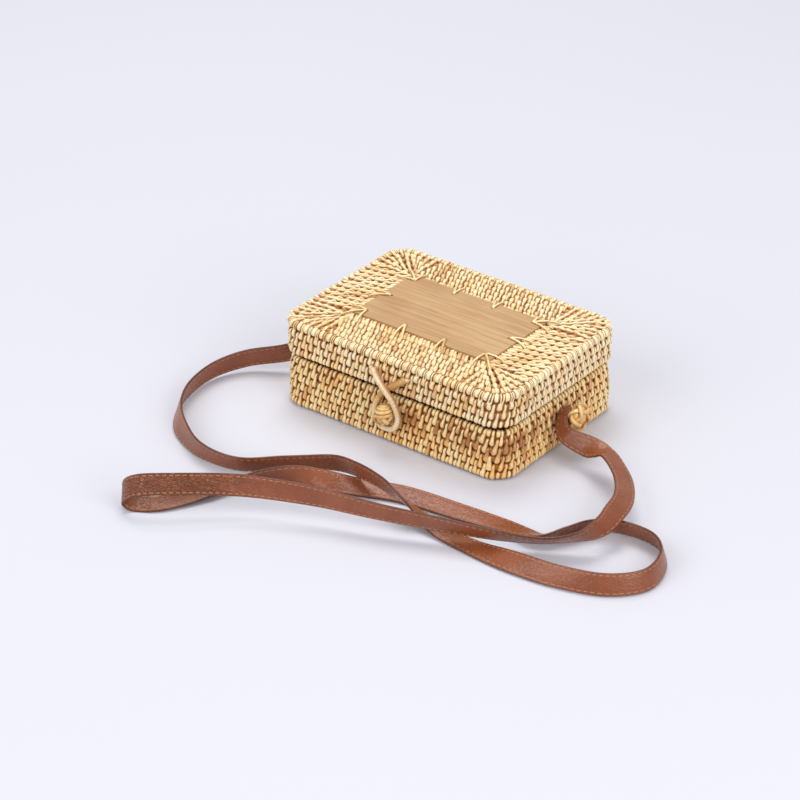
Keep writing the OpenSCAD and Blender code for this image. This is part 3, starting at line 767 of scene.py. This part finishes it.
class Band:
    """Rods side by side: row k lies on plans[k]; up is +1 for the side that faces up."""

    def __init__(self, plans, z, up, size=1.0):
        self.plans, self.z, self.up, self.size = plans, z, up, size
        last = plans[-1]
        self.reach = (last.x - last.r, last.y - last.r)

    def depth(self, k, side):
        """How far row k lies from the middle on a side."""
        return self.plans[k].y if side % 2 == 0 else self.plans[k].x

    def lay_rows(self, heap, control, inward, line, girth, seed, detail):
        """Turns rod middles (strands by points by 2) and inward ways into strands."""
        dice = np.random.default_rng(seed)
        angle = np.radians(line[:, 1])
        many = len(control)
        low = line[:, 2]*np.cos(angle)*self.size*self.up*(1 + dice.normal(0, BAND_LOW_VARIES, (many, 1)))
        shift = inward*(line[:, 2]*np.sin(angle)*self.size)[None, :, None]
        points = np.concatenate([control + shift, (self.z + low)[..., None]], -1)
        rowway = with_z(np.stack([inward[..., 1], -inward[..., 0]], -1)*self.up, 0.0)
        width = line[None, :, 3]*girth*(1 + dice.normal(0, BAND_SIZE_VARIES, (many, 1)))
        thick = line[None, :, 4]*self.size*(1 + dice.normal(0, BAND_SIZE_VARIES, (many, 1)))
        lay(heap, points, rowway, width, thick, seed + 700, detail)

    def straight(self, heap, row, side, line, lean, girth, seed, detail, shift=0.0):
        """The stitches of one row along one straight side."""
        reach = self.reach[side % 2]
        gap = self.depth(row, side) - self.depth(min(row + 1, len(self.plans) - 1), side)
        start = STITCH_PITCH*(0.5*(row % 2) + shift) - lean*gap*row
        a = np.arange(-MOST_STITCHES, MOST_STITCHES)*STITCH_PITCH + start
        a = a[np.abs(a) < reach]
        if len(a) == 0:
            return
        dice = np.random.default_rng(seed + 90)
        a = a + dice.normal(0, BAND_PLACE_VARIES, len(a))
        upper = np.minimum(row + line[:, 0].astype(int), len(self.plans) - 1)
        depth = np.array([self.depth(k, side) for k in upper])
        rise = line[:, 0]*gap + line[:, 2]*np.sin(np.radians(line[:, 1]))*self.size
        along = a[:, None] - (lean + dice.normal(0, BAND_LEAN_VARIES, (len(a), 1)))*rise[None]
        turn = side*math.pi/2
        point = np.stack([
            along*np.cos(turn) + depth*np.sin(turn),
            along*np.sin(turn) - depth*np.cos(turn),
        ], -1)
        inward = np.broadcast_to(np.array([-math.sin(turn), math.cos(turn)]), point.shape)
        self.lay_rows(heap, point, inward, line, girth, seed, detail)

    def corner_points(self, k, side, share):
        """Points a share of the way round the corner after side, on row k."""
        plan = self.plans[k]
        here, after = (plan.x, plan.y) if side % 2 == 0 else (plan.y, plan.x)
        begin = plan.starts[2*side] + here - plan.r + self.reach[side % 2]
        end = plan.starts[2*side + 2] + after - plan.r - self.reach[(side + 1) % 2]
        return plan.at(begin + share*(end - begin))[0], end - begin

    def corner(self, heap, row, side, line, girth, seed, detail):
        """The stitches of one row round one corner."""
        last = len(self.plans) - 1
        length = self.corner_points(row, side, np.array(0.5))[1]
        many = max(1, round(length/CORNER_PITCH))
        dice = np.random.default_rng(seed + 95)
        share = (np.arange(many) + 0.5 + dice.normal(0, CORNER_VARIES, many))/many
        here = self.corner_points(row, side, share)[0]
        there = self.corner_points(min(row + 1, last), side, share)[0]
        before = self.corner_points(max(row - 1, 0), side, share)[0]
        inward = unit(there - here) if row < last else unit(here - before)
        point = np.where((line[:, 0] > 0)[None, :, None], there[:, None], here[:, None])
        inward = np.broadcast_to(inward[:, None], point.shape)
        self.lay_rows(heap, point, inward, line, girth, seed, detail)

    def weave(self, heap, rows, seed, leans=(0.44, 0.66), girths=(0.95, 0.88), detail=FINE):
        """All the stitches of some rows, side by side and corner by corner."""
        for k in rows:
            line = TAIL if k == 0 else LONG if k < len(self.plans) - 1 else INNER
            for side in range(4):
                lean, girth = leans[side % 2]*self.up, girths[side % 2]
                self.straight(heap, k, side, line, lean, girth, seed + 20*k + side, detail)
                if line is INNER:
                    self.straight(heap, k, side, BETWEEN, lean, girth, seed + 400 + side, detail, 0.5)
                self.corner(heap, k, side, line, girth*0.95, seed + 20*k + side + 10, detail)


print("a band takes a stitch each", STITCH_PITCH, "mm on its sides and each", CORNER_PITCH, "mm at its corners")

# %% [markdown]
# ## The woven floor
# The floor is woven like the walls, of thin rods that shrink towards the middle, and it has stitches on
# both faces. A board with a bump would do for what is seldom seen. But the bag opens, and stands on this
# face, so it is woven from the same tables, in small, coarse patches.

# %% The woven floor
FLOOR_Z, FLOOR_SIZE, FLOOR_PITCH, FLOOR_ROWS, FLOOR_ROD_R = 2.5, 0.64, 6.6, 11, 1.6


def sheet_between(heap, outer, inner, z):
    """A flat sheet between two plans, under the strands of a band."""
    share = np.linspace(0, 1, 161)
    strip = np.stack([with_z(p.at(share*p.length*0.99999)[0], z) for p in (outer, inner)], 1)
    heap.grids(strip[None], tone=WEB_TONE)


floor_plans = []
for k in range(FLOOR_ROWS):
    x, y = BASE_PLAN.x - k*FLOOR_PITCH, BASE_PLAN.y - k*FLOOR_PITCH
    floor_plans.append(Plan(x, y, min(max(1.5, BASE_PLAN.r - k*FLOOR_PITCH), y - 0.2)))
for k in range(1, FLOOR_ROWS):
    rod(base_rods, floor_plans[k], FLOOR_Z, FLOOR_ROD_R, 60 + k, sides=6)
sheet_between(base_rods, floor_plans[0], floor_plans[-1], FLOOR_Z)
base_floor = Heap()
for up in (1, -1):
    floor_band = Band(floor_plans, FLOOR_Z, up, FLOOR_SIZE)
    floor_band.weave(base_floor, range(1, FLOOR_ROWS), 3000 + 500*up, (0.2, 0.2), (0.95, 0.95), COARSE)
base_heap.make("base_weave", "base", "rattan_base", RATTAN_BASE, ["base_basket"])
base_floor.make("base_floor_weave", "base", "rattan_base", RATTAN_BASE)
base_rods.make("base_rods", "base", "rattan_base", BASE_ROD)

# %% [markdown]
# ## The lid's wall
# The lid's wall has four rods. The top one is the edge, bound with fat cream beads, and between two beads a
# pair of thin strands goes over it. The base's tables could serve here too, but the edge turns the corner
# to the top, so it has tables of its own, whose angles start behind the rod.

# %% Lid wall and edge
LID_Z, LID_ROWS, LOWEST_ROD_R, THIN_APART = 45.65, 4, 1.9, 0.7
lid_heap, lid_rods, lid_inner = Heap(), Heap(), Heap()
lid_z = [LID_Z + k*ROW_PITCH for k in range(LID_ROWS)]
edge = LID_ROWS - 1
for k, z in enumerate(lid_z):
    rod(lid_rods, LID_PLAN, z, ROD_R if k else LOWEST_ROD_R, 80 + k)
    if k < edge:
        line = LOWEST if k == 0 else LONG if k < edge - 1 else SHORT
        weave_wall(lid_heap, LID_PLAN, z, k, line, 110 + k)
        weave_wall(lid_inner, LID_PLAN, z, k, line, 140 + k, inside=True, detail=COARSE)
weave_wall(lid_heap, LID_PLAN, lid_z[0], 1, FILL, 120, slide=LEAN*ROW_PITCH)
weave_wall(lid_heap, LID_PLAN, lid_z[edge], edge, BEAD, 121, dark=0.6)
for side in (-1, 1):
    weave_wall(lid_heap, LID_PLAN, lid_z[edge], edge, THIN, 122 + side, slide=STITCH_PITCH/2 + side*THIN_APART)
web(lid_rods, LID_PLAN, lid_z[0], lid_z[edge])
print("the lid's rods lie at", [round(z, 2) for z in lid_z], "mm")

# %% [markdown]
# ## The lid's top
# From the edge the rows run on across the top to the panel, five to each side, in finer, more slender
# stitches that fan out at the corners. One flat sheet with the rows as a bump would lose the fans and the
# steps between the rows, so the band weaver lays them: fine patches on top, coarse ones below, where they
# show with the lid open.

# %% Lid top
BAND_ROWS, BAND_X, BAND_Y, PANEL_GAP, TURN_R = 5, 40.5, 37.0, 0.3, 4.2
pitch_x = (BAND_X - PANEL_GAP - 2*ROW_R)/BAND_ROWS
pitch_y = (BAND_Y - PANEL_GAP - 2*ROW_R)/BAND_ROWS
lid_plans = []
for k in range(BAND_ROWS + 1):
    r = max(TURN_R, LID_PLAN.r - k*(pitch_x + pitch_y)/2)
    lid_plans.append(Plan(LID_PLAN.x - k*pitch_x, LID_PLAN.y - k*pitch_y, r))
top_z = lid_z[edge]
top_heap = Heap()
Band(lid_plans, top_z, 1).weave(top_heap, range(BAND_ROWS + 1), 5000)
Band(lid_plans, top_z, -1).weave(lid_inner, range(BAND_ROWS + 1), 6000, detail=COARSE)
for k in range(1, BAND_ROWS + 1):
    rod(lid_rods, lid_plans[k], top_z, ROD_R, 90 + k)
sheet_between(lid_rods, lid_plans[0], lid_plans[BAND_ROWS], top_z)
lid_heap.make("lid_wall_weave", "lid", "rattan_lid", RATTAN_LID, ["lid_basket"])
top_heap.make("lid_top_weave", "lid", "rattan_lid", RATTAN_TOP)
lid_inner.make("lid_inner_weave", "lid", "rattan_lid", RATTAN_BASE)
lid_rods.make("lid_rods", "lid", "rattan_lid", RATTAN_ROD)

# %% [markdown]
# ## The wooden panel
# The panel is a thin board with its grain along the long side: soft bands, fine dark pores and a satin
# finish. An image of wood would be the quick way, but noise that is stretched along the board gives bands,
# lines and pores at any distance. The board's shape in the frame is right, so the CAD node stays and only
# gets this finish.

# %% Wood
def wood_finish():
    f = Finish("panel_wood")
    place = f.place()
    drift = f.noise(place, 14.0, 2.0)
    bands = f.noise(f.stretched(place, (2.2, 60.0, 60.0)), 4.2, 4.0, 0.6)
    pores = f.noise(f.stretched(place, (10.0, 420.0, 420.0)), 4.0, 2.0, 0.5)
    lines = f.noise(f.stretched(place, (3.0, 260.0, 260.0)), 2.0, 3.0, 0.6)
    tint = f.mix(bands.ramp(0.32, 0.68), colour(0.785, 0.633, 0.445), colour(0.705, 0.545, 0.365))
    tint = f.mix(drift.ramp(0.4, 0.7)*0.4, tint, colour(0.84, 0.70, 0.52))
    tint = f.mix(lines.ramp(0.52, 0.70)*0.6, tint, colour(0.56, 0.40, 0.25))
    tint = f.mix(pores.ramp(0.56, 0.72)*0.5, tint, colour(0.46, 0.31, 0.18))
    return f.set(
        base_color=tint,
        roughness=0.42 + bands*0.14,
        normal=f.bump(lines*0.6 + pores, 0.25, 0.00015),
    )


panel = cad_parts["lid_panel"]
panel.data.materials.clear()
panel.data.materials.append(wood_finish())
print("panel finish on", panel.name)

# %% [markdown]
# ## Strands with a round section
# The lacing, the loop, the knots and the hinge rings are whole strands, seen all round. A curve with a
# bevel would give a plain tube. One function sweeps a closed tube, flat or round, along a line, with the
# way it faces given at each point, so a flat strand can lie flat on what it is wound on.

# %% Tube sweeper
def tube(heap, line, face, half_w, half_t, sides=10, tone=0.5, ridge=None):
    """Sweeps a closed tube along a line; half_w is across it, half_t towards face."""
    line, face = np.asarray(line, float), np.asarray(face, float)
    forward = unit(np.gradient(line, axis=0))
    face = unit(face - forward*np.sum(forward*face, -1, keepdims=True))
    side = np.cross(forward, face)
    turn = np.linspace(0, 2*math.pi, sides, endpoint=False)
    grow = np.ones(len(line)) if ridge is None else ridge
    half_w = np.broadcast_to(half_w, len(line))*grow
    half_t = np.broadcast_to(half_t, len(line))*grow
    ring = line[:, None] + side[:, None]*(half_w[:, None]*np.cos(turn))[..., None]
    ring = ring - face[:, None]*(half_t[:, None]*np.sin(turn))[..., None]
    tips = [line[i] - (1 + 2*i)*forward[i]*half_t[i]*0.6 for i in (0, -1)]
    tips = [np.repeat(tip[None, None], sides, 1) for tip in tips]
    ring = np.concatenate([tips[0], ring, tips[1]])
    # With ridges, along grows in the grooves between wraps, so the finish paints shade there; across paints
    # shade on the tube's sides.
    along = np.linspace(0.1, 0.9, len(line)) if ridge is None else 0.5 + 3.4*(ridge.max() - ridge)
    along = np.pad(along, 1, "edge")
    tone = np.pad(np.broadcast_to(tone, len(line)), 1, "edge")[None, :, None]
    across = np.cos(turn)[None, None]*0.9
    heap.grids(ring[None], closed=True, tone=tone, along=along[None, :, None], across=across)


print("tube sweeper ready")

# %% [markdown]
# ## Lacing
# Ten holes in the panel take the lacing: at each a strand comes up, and goes over the panel's edge into the
# weave as a V, or as a fan of three at the corners. Straight sticks would float over the edge. So each
# strand is a smooth line with stops: up out of the hole, along the board, down over its edge, and behind
# the first row.

# %% Panel lacing
PANEL_TOP, PANEL_W, PANEL_D, HOLE_IN = 71.0, 119.0, 71.0, 7.0
LACE_HALF_W, LACE_HALF_T, CORNER_OUT = 1.05, 0.62, 6.2
hole_x, hole_y = PANEL_W/2 - HOLE_IN, PANEL_D/2 - HOLE_IN


def lace(heap, hole, end, tone):
    """A strand from a hole, over the panel's edge, to a place between two rows."""
    hole, end = np.array(hole, float), np.array(end, float)
    way = unit(end - hole)
    reach = np.linalg.norm(end - hole)
    places = np.abs(hole + np.outer(np.linspace(0, 1, 40), end - hole))
    clear = np.maximum(places - [PANEL_W/2, PANEL_D/2], 0).max(1)
    edge = reach*np.argmax(clear > 0)/39
    stops = [(0.8, -2.2), (0.75, 0.1), (1.9, 0.75), (edge*0.6, 0.72), (edge + 0.4, 0.6),
             (edge + 2.6, 0.05), (edge + 5.0, -0.5), (reach - 0.4, -1.6), (reach + 0.6, -3.2)]
    line = smooth([[*(hole + way*d), PANEL_TOP + h] for d, h in stops], 4)
    face = np.array([[0, 0, 1.0]]*len(line)) + 0.3*np.array([*way, 0])
    tube(heap, line, face, LACE_HALF_W, LACE_HALF_T, 8, tone)


lace_heap = Heap()
dice = np.random.default_rng(77)
row_gap = (ROW_R + pitch_x/2 + PANEL_GAP, ROW_R + pitch_y/2 + PANEL_GAP)
for sx in (-1, 1):
    for turn_y in (-4.6, 4.2):
        lace(lace_heap, (sx*hole_x, 0), (sx*(PANEL_W/2 + row_gap[0]), turn_y + sx*3.0), dice.random())
    for sy in (-1, 1):
        for spread in (-2.2, 4.4):
            lace(lace_heap, (sx*hole_x/3, sy*hole_y),
                 (sx*hole_x/3 - sy*(spread + 2.5), sy*(PANEL_D/2 + row_gap[1])), dice.random())
        corner_ends = [(hole_x - 1.5, PANEL_D/2 + row_gap[1]), (PANEL_W/2 + row_gap[0], hole_y - 1.5),
                       (PANEL_W/2 + CORNER_OUT, PANEL_D/2 + CORNER_OUT)]
        for x, y in corner_ends:
            lace(lace_heap, (sx*hole_x, sy*hole_y), (sx*x, sy*y), dice.random())
lace_heap.make("panel_lacing_strands", "lid", "rattan_lacing", RATTAN_LACE, ["panel_lacing"])

# %% [markdown]
# ## The clasp's loop
# The loop is a cane core wrapped closely with a thin strand, so it has fine ridges all along. It leaves the
# lid's wall at two places, crosses over itself like a ribbon, and hangs round the knot on the base. Winding
# a second strand round it would cost many points for ridges a millimetre high, so the tube itself swells
# and narrows.

# %% Clasp loop
LOOP_AXIS = np.array([2.0, -73.55, 57.5])
LOOP = [
    (-13, 0, -0.4), (-8.6, -3.2, -2.8), (-2.4, -5.8, -6.6), (3.2, -6.4, -11.6), (7.9, -5.5, -18.1),
    (10.2, -4, -26), (10.4, -3.3, -32), (8, -3, -38), (3.5, -3, -41.4), (-3.5, -3, -41.4), (-8, -3, -38),
    (-10.4, -2.8, -32), (-10, -2.2, -26), (-6.3, -1.7, -18.2), (0, -1.5, -10.8), (7.5, -1.6, -4.9),
    (12, -1.4, -1.6), (14.6, 0, 0.6),
]
loop_line = smooth(LOOP, 26) + LOOP_AXIS
loop_run = np.concatenate([[0], np.cumsum(np.linalg.norm(np.diff(loop_line, axis=0), axis=1))])
WRAP_PITCH = 2.7
ridges = 0.86 + 0.14*np.abs(np.sin(math.pi*loop_run/WRAP_PITCH))**0.45
loop_tone = np.clip(loop_run/loop_run[-1]*6 - 3.6, 0.2, 0.95)
outward = np.array([[0, -1.0, 0.05]]*len(loop_line))
loop_heap = Heap()
tube(loop_heap, loop_line, outward, 2.55, 2.4, 14, loop_tone, ridges)
for sx in (-1, 1):
    root = smooth([(sx*14 - sx*2.5, 0.4, 0.3), (sx*14, 0, 0), (sx*16.5, 0.8, 0.6)], 6) + LOOP_AXIS
    tube(loop_heap, root, np.array([[0, -1.0, 0]]*len(root)), 1.95, 1.95, 12, 0.35)
loop_heap.make("clasp_loop_wrapped", "clasp", "rattan_loop", RATTAN_LOOP, ["clasp_loop"])
print("clasp strand", round(loop_run[-1]), "mm long")

# %% [markdown]
# ## Strands on a knot
# The toggle and the two strap buttons are knots of flat amber strands on a core. A round lump with a bump
# would look cast, not tied. So a strand's line is drawn on an ellipsoid, by the angle round its axis and
# the climb from its middle to its ends, and it rises and sinks where it crosses another.

# %% Knots
class Ellipsoid:
    """The shape under a knot: half_axis along the axis, half_round across it."""

    def __init__(self, middle, axis, half_axis, half_round):
        self.middle, self.axis = np.array(middle, float), np.array(axis, float)
        self.half_axis, self.half_round = half_axis, half_round
        self.u = np.array([0, 0, 1.0]) if abs(axis[2]) < 0.9 else np.array([1.0, 0, 0])
        self.v = np.cross(self.axis, self.u)

    def strand(self, heap, around, climb, half_w, tone, lift=0.0, half_t=0.62):
        """A flat strand along the angles around and climb, raised by lift."""
        flat = np.cos(climb)[:, None]*(np.cos(around)[:, None]*self.u + np.sin(around)[:, None]*self.v)
        face = unit(flat/self.half_round + np.sin(climb)[:, None]*self.axis/self.half_axis)
        line = self.middle + flat*self.half_round + np.sin(climb)[:, None]*self.axis*self.half_axis
        tube(heap, line + face*np.broadcast_to(lift, len(line))[:, None], face, half_w, half_t, 8, tone)

    def core(self, heap):
        """The inside of the knot, seen only in its gaps."""
        climb, around = np.linspace(-math.pi/2, math.pi/2, 13), np.linspace(0, 2*math.pi, 20, endpoint=False)
        ring = np.cos(climb)[:, None, None]*(np.cos(around)[:, None]*self.u + np.sin(around)[:, None]*self.v)
        ring = ring*self.half_round + np.sin(climb)[:, None, None]*self.axis*self.half_axis
        heap.grids((self.middle + ring)[None], closed=True, tone=0.8, along=0.3)

    def turks_head(self, heap, bights, leads, swing, half_w, seed):
        """One strand that goes round leads times and swings bights times, over and under itself."""
        dice = np.random.default_rng(seed)
        t = np.linspace(0, 2*math.pi*leads, 120*leads)
        climb = swing*np.sin(bights*t/leads)
        tone = 0.35 + 0.3*np.sin(t*1.7 + dice.random()*6)
        self.strand(heap, t, climb, half_w, tone, 0.5 + 0.9*np.sin(2*bights*t/leads), 1.25)


def stem(heap, start, end, radius, tone):
    """A straight, round stem."""
    line = np.linspace(start, end, 8)
    tube(heap, line, np.array([[0, 0, 1.0]]*8) + 0.01, radius, radius, 10, tone)


print("knot strands ready")

# %% [markdown]
# ## The toggle
# The clasp's knot is a small lemon on a stem. Strands are wound round its upper half, and others cross over
# its lower half, one above the next, as in a tied knot. A full knot could be followed strand by strand, but
# only the upper wraps and the crossings below are seen past the loop, so these two sets are enough.

# %% Toggle
KNOT_Z, CLASP_X, STEM_R, STEM_TONE = 28.0, 2.0, 1.95, 0.6
toggle, dice = Heap(), np.random.default_rng(31)
lemon = Ellipsoid((CLASP_X, -80.0, KNOT_Z), (0.18, -0.12, 0.976), 8.1, 5.8)
lemon.core(toggle)
turn = np.linspace(0, 2*math.pi, 48)
for climb in (0.1, 0.5, 0.88, 1.24):
    lemon.strand(toggle, turn, climb + 0.2*np.sin(turn + 2.2), 1.5, 0.45*dice.random(), 0.4, 0.85)
for k in range(6):
    start, way = k*2*math.pi/6, 1 if k % 2 else -1
    climb = np.linspace(0.05, -1.4, 20)
    lift = 0.45 + 0.65*np.cos(np.linspace(0, 2.4*math.pi, 20) + math.pi*(k % 2))
    around, half_w = start + way*1.15*(0.05 - climb), np.linspace(2.0, 1.1, 20)
    lemon.strand(toggle, around, climb, half_w, 0.45*dice.random(), lift, 0.9)
stem(toggle, (CLASP_X, -63.0, KNOT_Z), (CLASP_X, -78.0, KNOT_Z), STEM_R, STEM_TONE)
toggle.make("clasp_knot_tied", "base", "rattan_knot", RATTAN_KNOT, ["clasp_knot"])

# %% [markdown]
# ## The strap's buttons
# Each button is a flat Turk's head, a knot with no visible ends: one fat strand runs round the axis three
# times while it swings from end to end, over itself and under itself. It could be modelled as separate
# crossing pieces, but one sine for the swing and one for the rise draw the whole knot as one strand.

# %% Buttons
BUTTON_X, BUTTON_HALF_AXIS, BUTTON_HALF_ROUND = 113.4, 4.2, 8.4
for side, node in ((-1, "strap_knot_left"), (1, "strap_knot_right")):
    button = Heap()
    disc = Ellipsoid((side*BUTTON_X, 0, KNOT_Z), (side, 0, 0), BUTTON_HALF_AXIS, BUTTON_HALF_ROUND)
    disc.core(button)
    disc.turks_head(button, bights=5, leads=3, swing=0.95, half_w=1.75, seed=40 + side)
    stem(button, (side*92.0, 0, KNOT_Z), (side*112.0, 0, KNOT_Z), STEM_R, STEM_TONE)
    button.make(node + "_tied", "base", "rattan_knot", RATTAN_KNOT, [node])

# %% [markdown]
# ## The hinge
# At the back two rings of rattan go through both walls and lash the lid to the base, and the lid turns on
# them. A torus would be the quick way. Here each ring is two strands side by side, as if wound twice, so
# that it looks like the rest of the work.

# %% Hinge rings
HINGE_X, HINGE_Y, HINGE_Z, RING_R, STRAND_APART, RING_POINTS = 52.0, 72.5, 41.85, 7.2, 0.72, 72
turn = np.linspace(0, 2*math.pi, RING_POINTS)
way = np.stack([np.zeros(RING_POINTS), np.cos(turn), np.sin(turn)], -1)
for side, node in ((-1, "hinge_ring_left"), (1, "hinge_ring_right")):
    ring_heap = Heap()
    for shift in (-STRAND_APART, STRAND_APART):
        line = np.array([side*HINGE_X + shift, HINGE_Y, HINGE_Z]) + way*RING_R
        tube(ring_heap, line, way, 0.74, 1.25, 8, 0.4 + 0.3*shift)
    ring_heap.make(node + "_strands", "base", "rattan_lacing", RATTAN_LACE, [node])

# %% [markdown]
# ## The sheet below
# The bag lies on a pale sheet, a little blue, with no edge in sight. A curved backdrop would hide a
# horizon, but the view looks down and sees none, so a wide plane is enough. It belongs to the stage, not to
# the bag.

# %% Sheet
def floor_finish():
    f = Finish("studio_sheet")
    cloud = f.noise(f.place(), 1.5, 2.0)
    return f.set(
        base_color=f.mix(cloud.ramp(0.3, 0.7), colour(0.828, 0.83, 0.865), colour(0.833, 0.835, 0.87)),
        roughness=0.9,
    )


bpy.ops.mesh.primitive_plane_add(size=12, location=(0, 0, 0))
floor = bpy.context.object
floor.name = "studio_floor"
floor.data.materials.append(floor_finish())
print("sheet:", floor.name)

# %% [markdown]
# ## Light
# The light is soft and comes from all round, with faint shadows. A picture of a studio could light it, but
# three wide area lights are easier to weigh against each other: the key hangs above and behind, to the
# left, the fill stands on the right, and a third in front keeps the near walls bright. The world gives what
# comes back from the room.

# %% Light
world = bpy.data.worlds.new("studio")
bpy.context.scene.world = world
world.use_nodes = True
background = world.node_tree.nodes["Background"]
background.inputs["Color"].default_value = (0.93, 0.95, 1.0, 1.0)
background.inputs["Strength"].default_value = 0.5


def area_light(name, place, aim, size, power, tint):
    """A square light of a size in metres, turned from its place to its aim."""
    light = bpy.data.lights.new(name, "AREA")
    light.size, light.energy, light.color = size, power, tint
    lamp = bpy.data.objects.new(name, light)
    lamp.location = place
    lamp.rotation_mode = "QUATERNION"
    lamp.rotation_quaternion = (Vector(aim) - Vector(place)).to_track_quat("-Z", "Y")
    bpy.context.scene.collection.objects.link(lamp)


WARM = (1.0, 0.985, 0.97)
area_light("key", (-0.6, 0.7, 2.6), (0.05, -0.1, 0), 1.5, 39, (1.0, 0.985, 0.96))
area_light("fill", (2.0, -0.6, 1.3), (0, -0.05, 0), 1.6, 27, WARM)
area_light("front", (-0.6, -2.2, 1.6), (0, -0.05, 0), 1.8, 30, WARM)
bpy.context.scene.view_settings.view_transform = "Standard"
bpy.context.scene.view_settings.look = "None"
print("lights:", ", ".join(light.name for light in bpy.data.lights))
